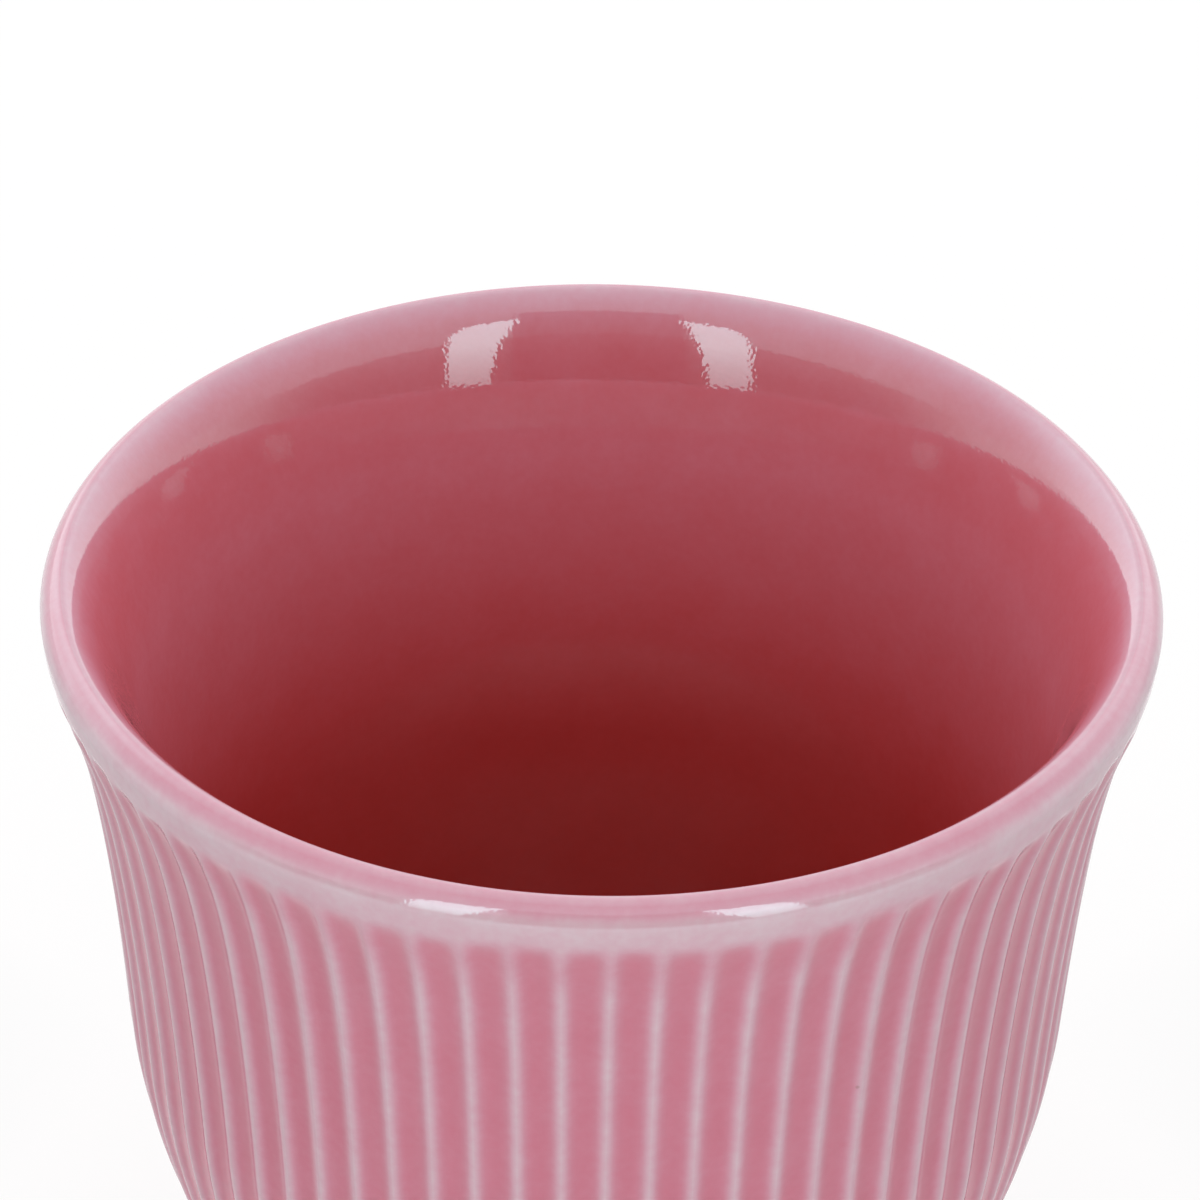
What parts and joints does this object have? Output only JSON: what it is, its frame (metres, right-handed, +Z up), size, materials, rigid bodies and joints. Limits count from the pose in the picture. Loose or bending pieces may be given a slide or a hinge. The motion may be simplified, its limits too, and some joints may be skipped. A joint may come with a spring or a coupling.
{
  "type": "tasting cup",
  "caption": "Handleless porcelain tasting cup with a flared lip, fine upright ribs round the wall, a round belly and a low bare foot ring, for tasting coffee or tea.",
  "frame": {"origin": "middle of the foot ring, on the surface that the cup stands on", "axes": "+Z up along the cup's axis, -Y towards the side that the picture shows"},
  "size_m": [0.078, 0.078, 0.064],
  "materials": {
    "porcelain": "bare fired porcelain, fine and matt",
    "pink_glaze": "glossy translucent pink glaze, pale where it runs thin on ribs and lip"
  },
  "bodies": {
    "root": {"porcelain_body": "porcelain", "outer_glaze": "pink_glaze", "inner_glaze": "pink_glaze", "recess_glaze": "pink_glaze"}
  },
  "joints": []
}
